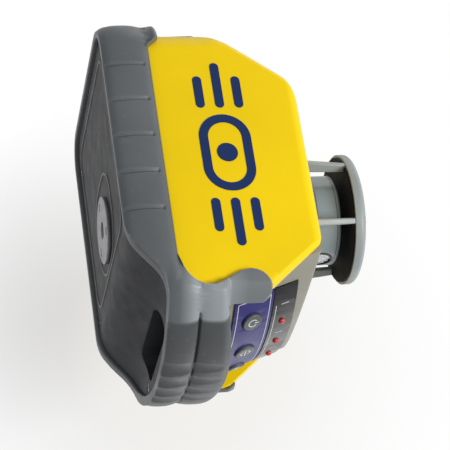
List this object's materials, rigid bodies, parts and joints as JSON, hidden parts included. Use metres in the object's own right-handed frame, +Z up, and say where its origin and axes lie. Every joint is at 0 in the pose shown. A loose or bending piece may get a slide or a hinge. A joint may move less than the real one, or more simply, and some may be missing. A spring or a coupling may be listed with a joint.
{
  "type": "rotary laser level",
  "caption": "Self-levelling rotary laser level: leaning case in a rubber bumper with a finger grip, bowed keypad console, rear battery door and an open cage around the spinning beam head.",
  "frame": {"origin": "centre of the footprint on the standing plane, on the axis shared by the tripod thread and the level rotor", "axes": "+Z up along the rotor axis, -Y towards the grip and keypad, +Y towards the battery door, X across"},
  "size_m": [0.198, 0.272, 0.2],
  "materials": {
    "yellow_plastic": "moulded, fine grain, half gloss",
    "grey_rubber": "moulded elastomer, satin",
    "black_rubber": "matt",
    "dark_plastic": "fine grain",
    "black_plastic": "satin",
    "steel": "plated",
    "aluminium": "turned and cast",
    "brass": "turned",
    "navy_print": "printed film",
    "console_grey": "fine grain",
    "violet_film": "printed film, half gloss",
    "black_window": "smoked, gloss",
    "lamp_red": "translucent",
    "button_grey": "soft touch",
    "board_green": "solder mask",
    "light_grey": "fine grain",
    "drum_grey": "half gloss",
    "cell_jacket": "printed foil jacket",
    "glass": "coated"
  },
  "bodies": {
    "case": {"base_pan": "dark_plastic", "housing_gasket": "black_rubber", "upper_housing": "yellow_plastic", "rubber_bumper": "grey_rubber", "housing_screws": "steel", "tripod_insert": "aluminium", "insert_screws": "steel", "label_left": "navy_print", "label_right": "navy_print", "keypad_console": "console_grey", "keypad_panel": "violet_film", "indicator_window": "black_window", "indicator_lamps": "lamp_red", "keypad_board": "board_green", "lighthouse_ring": "light_grey", "lighthouse_posts": "light_grey", "lighthouse_cap": "light_grey", "cap_liner": "black_plastic", "cap_screws": "steel", "battery_tray": "dark_plastic", "cell_left": "cell_jacket", "cell_right": "cell_jacket", "contact_spring": "steel", "contact_plate": "steel", "door_hinge_pin": "steel", "chassis": "aluminium", "outer_pivot_pins": "steel", "level_motor_x": "steel", "main_board": "board_green"},
    "power_button": {"power_button": "button_grey"},
    "manual_button": {"manual_button": "button_grey"},
    "alert_button": {"alert_button": "button_grey"},
    "door": {"battery_door": "dark_plastic", "door_seal": "black_rubber"},
    "knob": {"door_knob": "black_plastic"},
    "gimbal": {"gimbal_ring": "aluminium", "inner_pivot_pins": "steel", "level_motor_y": "steel"},
    "nut_x": {"level_nut_x": "brass"},
    "screw_x": {"level_screw_x": "steel"},
    "nut_y": {"level_nut_y": "brass"},
    "screw_y": {"level_screw_y": "steel"},
    "barrel": {"laser_barrel": "aluminium", "barrel_bracket": "steel", "laser_diode": "brass", "collimator_lens": "glass", "level_vials": "glass", "bearing_lower": "steel", "bearing_upper": "steel", "rotor_motor": "steel", "drive_belt": "black_rubber"},
    "motor_pulley": {"motor_pulley": "black_plastic"},
    "rotor": {"rotor_hub": "aluminium", "rotor_pulley": "black_plastic", "rotor_drum": "drum_grey", "rotor_window": "glass", "pentaprism": "glass"}
  },
  "joints": [
    {"name": "tilt_x", "type": "hinge", "parent": "case", "child": "gimbal", "pos_m": [0, 0, 0.122], "axis": [1, 0, 0], "range_deg": [-5, 5]},
    {"name": "nut_x_travel", "type": "slide", "parent": "case", "child": "nut_x", "axis": [0, 0, 1], "range_m": [-0.0039, 0.0039]},
    {"name": "screw_x_turn", "type": "hinge", "parent": "case", "child": "screw_x", "pos_m": [0, 0.044, 0.118], "axis": [0, 0, 1], "range_deg": [-700, 700]},
    {"name": "tilt_y", "type": "hinge", "parent": "gimbal", "child": "barrel", "pos_m": [0, 0, 0.122], "axis": [0, 1, 0], "range_deg": [-5, 5]},
    {"name": "nut_y_travel", "type": "slide", "parent": "gimbal", "child": "nut_y", "axis": [0, 0, 1], "range_m": [-0.0036, 0.0036]},
    {"name": "screw_y_turn", "type": "hinge", "parent": "gimbal", "child": "screw_y", "pos_m": [-0.04, -0.03, 0.126], "axis": [0, 0, 1], "range_deg": [-640, 640]},
    {"name": "rotor_spin", "type": "hinge", "parent": "barrel", "child": "rotor", "pos_m": [0, 0, 0.15], "axis": [0, 0, 1], "continuous": true},
    {"name": "pulley_spin", "type": "hinge", "parent": "barrel", "child": "motor_pulley", "pos_m": [0.033, -0.033, 0.135], "axis": [0, 0, 1], "continuous": true},
    {"name": "power_button_press", "type": "slide", "parent": "case", "child": "power_button", "axis": [0.265, 0.924, -0.2756], "range_m": [0, 0.001], "stiffness_N_per_m": 1500},
    {"name": "manual_button_press", "type": "slide", "parent": "case", "child": "manual_button", "axis": [0, 0.9613, -0.2756], "range_m": [0, 0.001], "stiffness_N_per_m": 1500},
    {"name": "alert_button_press", "type": "slide", "parent": "case", "child": "alert_button", "axis": [-0.265, 0.924, -0.2756], "range_m": [0, 0.001], "stiffness_N_per_m": 1500},
    {"name": "door_hinge", "type": "hinge", "parent": "case", "child": "door", "pos_m": [0, 0.1297, 0.0405], "axis": [-1, 0, 0], "range_deg": [0, 90]},
    {"name": "knob_turn", "type": "hinge", "parent": "door", "child": "knob", "pos_m": [0, 0.1312, 0.0808], "axis": [0, 1, 0], "range_deg": [0, 90]}
  ],
  "couplings": [
    {"joint": "nut_x_travel", "follows": "tilt_x", "m_per_rad": 0.044},
    {"joint": "screw_x_turn", "follows": "tilt_x", "ratio": 138.23},
    {"joint": "nut_y_travel", "follows": "tilt_y", "m_per_rad": 0.04},
    {"joint": "screw_y_turn", "follows": "tilt_y", "ratio": 125.66},
    {"joint": "pulley_spin", "follows": "rotor_spin", "ratio": 3.3333}
  ]
}
